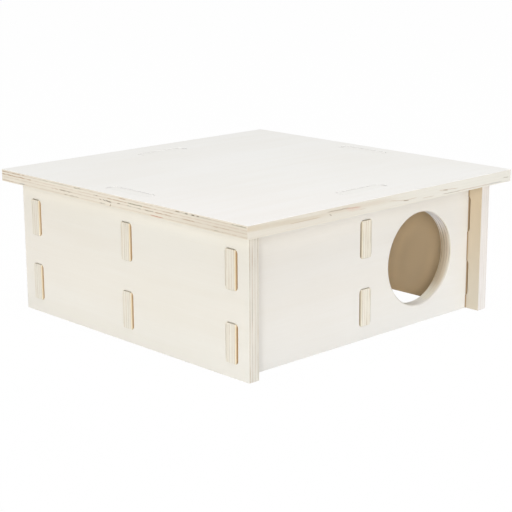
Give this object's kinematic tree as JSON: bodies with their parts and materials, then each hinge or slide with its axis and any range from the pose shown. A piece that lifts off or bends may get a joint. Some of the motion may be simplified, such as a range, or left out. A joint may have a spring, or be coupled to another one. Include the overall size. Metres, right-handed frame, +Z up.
{
  "type": "hamster house",
  "caption": "Square plywood hideout for a small pet: through-tenoned walls with round doorways, crossed dividers inside, an open bottom and a flat roof that lifts off.",
  "frame": {"origin": "on the ground, at the middle of the house's width and depth", "axes": "+Z up; the front wall with the entrance faces -Y, and the entrance is in its right-hand half, towards +X"},
  "size_m": [0.272, 0.272, 0.109],
  "materials": {
    "wall_plywood": "unfinished sanded plywood",
    "divider_plywood": "unfinished sanded plywood",
    "roof_plywood": "unfinished sanded plywood"
  },
  "bodies": {
    "walls": {"left_wall": "wall_plywood", "right_wall": "wall_plywood", "front_wall": "wall_plywood", "back_wall": "wall_plywood", "cross_divider": "divider_plywood", "long_divider": "divider_plywood"},
    "lift_off_roof": {"roof": "roof_plywood"}
  },
  "joints": [
    {"name": "roof_lift", "type": "slide", "parent": "walls", "child": "lift_off_roof", "axis": [0, 0, 1], "range_m": [0, 0.12]}
  ]
}
